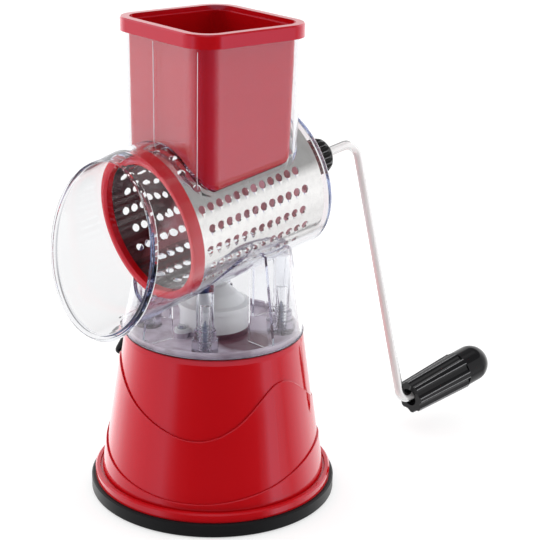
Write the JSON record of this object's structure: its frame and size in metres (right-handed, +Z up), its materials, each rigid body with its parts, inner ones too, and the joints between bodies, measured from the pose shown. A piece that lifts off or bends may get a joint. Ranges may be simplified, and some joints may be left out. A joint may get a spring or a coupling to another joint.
{
  "type": "rotary drum shredder",
  "caption": "Hand-cranked rotary vegetable shredder: perforated drum in a clear housing with square hopper and pusher, on a tapered suction foot with a side lever.",
  "frame": {"origin": "centre of the foot's resting ring, on the table", "axes": "+Z up, the drum's mouth faces -Y, the crank is on the +Y side, the suction lever is on the -X side"},
  "size_m": [0.1346, 0.2789, 0.2598],
  "materials": {
    "red_plastic": "gloss",
    "clear_plastic": "clear gloss",
    "white_plastic": "gloss",
    "black_plastic": "satin",
    "black_rubber": "matt",
    "drum_steel": "bright",
    "chrome": "polished",
    "screw_steel": "zinc plated",
    "spring_steel": "satin"
  },
  "bodies": {
    "stand": {"suction_cup": "black_rubber", "base_shell": "red_plastic", "guide_plate": "white_plastic", "clamp_screws": "screw_steel", "cam_cover": "white_plastic", "cover_screws": "screw_steel", "clear_skirt": "clear_plastic", "body_screws": "screw_steel", "drum_housing": "clear_plastic", "hopper": "clear_plastic", "rear_bush": "white_plastic"},
    "lever": {"lever_shaft": "chrome", "suction_lever": "chrome", "lever_tip": "black_plastic", "lift_cam": "white_plastic", "shaft_clip": "spring_steel"},
    "cup_lift": {"lift_yoke": "white_plastic", "pull_rod": "screw_steel", "cup_plate": "white_plastic", "return_spring": "spring_steel"},
    "pusher": {"food_pusher": "red_plastic"},
    "crank": {"drive_key": "chrome", "crank_rod": "chrome", "grip_clip": "spring_steel"},
    "grip": {"crank_grip": "black_plastic", "grip_cap": "black_plastic"},
    "drum": {"drum_sleeve": "drum_steel", "drum_front_ring": "red_plastic", "drum_hub": "red_plastic"},
    "washer": {"nut_washer": "black_plastic"},
    "nut": {"lock_nut": "black_plastic"}
  },
  "joints": [
    {"name": "crank_spin", "type": "hinge", "parent": "stand", "child": "crank", "pos_m": [0, 0, 0.164], "axis": [0, 0.9848, 0.1736], "continuous": true},
    {"name": "grip_spin", "type": "hinge", "parent": "crank", "child": "grip", "pos_m": [0.01837, 0.02844, 0.00272], "axis": [0, 0.9848, 0.1736], "continuous": true},
    {"name": "drum_pull", "type": "slide", "parent": "crank", "child": "drum", "axis": [0, -0.9848, -0.1736], "range_m": [0, 0.14]},
    {"name": "pusher_lift", "type": "slide", "parent": "stand", "child": "pusher", "axis": [0, 0, 1], "range_m": [0, 0.085]},
    {"name": "lever_turn", "type": "hinge", "parent": "stand", "child": "lever", "pos_m": [0, 0, 0.1035], "axis": [1, 0, 0], "range_deg": [0, 110]},
    {"name": "cup_lift_slide", "type": "slide", "parent": "stand", "child": "cup_lift", "axis": [0, 0, 1], "range_m": [0, 0.0043], "deforming": ["return_spring"]},
    {"name": "nut_travel", "type": "slide", "parent": "stand", "child": "washer", "axis": [0, 0.9848, 0.1736], "range_m": [0, 0.0061]},
    {"name": "nut_turn", "type": "hinge", "parent": "washer", "child": "nut", "pos_m": [0, 0, 0.164], "axis": [0, 0.9848, 0.1736], "range_deg": [0, 1080]}
  ],
  "couplings": [
    {"joint": "cup_lift_slide", "follows": "lever_turn", "m_per_rad": 0.00222},
    {"joint": "nut_travel", "follows": "nut_turn", "m_per_rad": 0.00031831}
  ]
}
